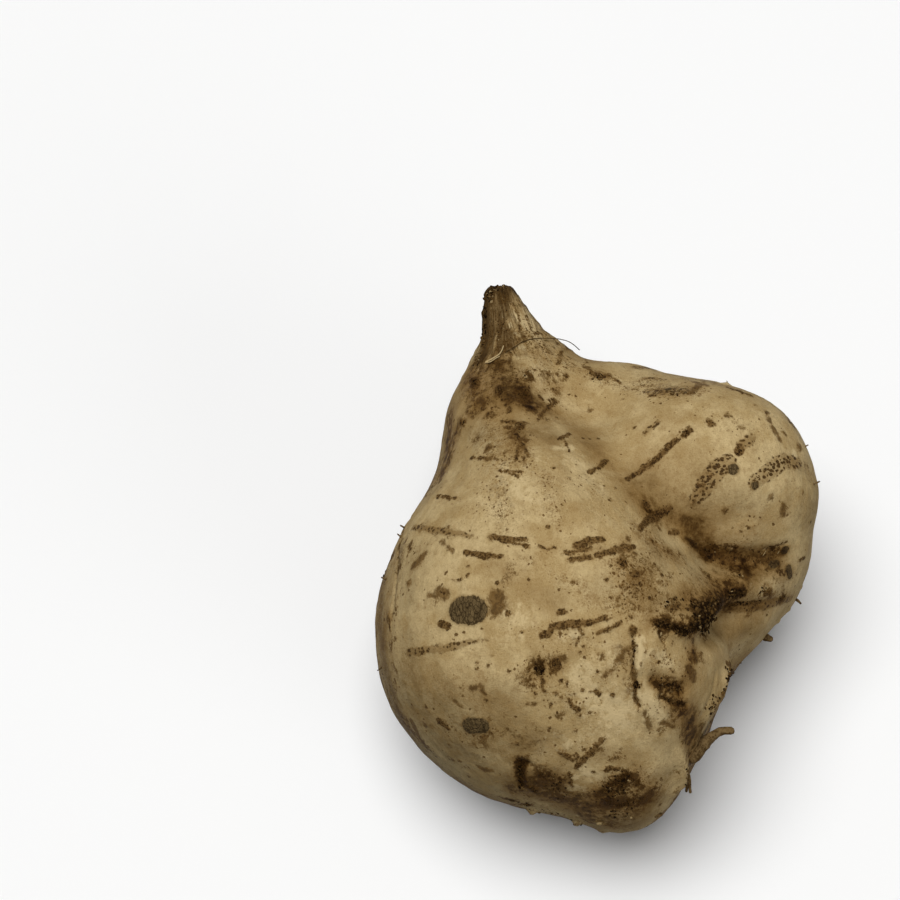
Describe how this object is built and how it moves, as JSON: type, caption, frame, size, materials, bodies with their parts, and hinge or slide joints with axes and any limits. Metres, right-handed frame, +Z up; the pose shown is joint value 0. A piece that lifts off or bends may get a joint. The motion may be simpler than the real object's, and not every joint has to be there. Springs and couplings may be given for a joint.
{
  "type": "white sweet potato",
  "caption": "Lobed pale storage root with a short woody neck, folds between its lobes and thin side roots, lying on its underside.",
  "frame": {"origin": "middle of the bounding box footprint, on the resting plane", "axes": "+Z up from the resting plane, +Y from the blunt end to the neck, X across the lobes"},
  "size_m": [0.1114, 0.1396, 0.0785],
  "materials": {
    "root_skin": "matte cream root skin with brown scars and soil in the folds"
  },
  "bodies": {
    "root": {"tuber": "root_skin"}
  },
  "joints": []
}
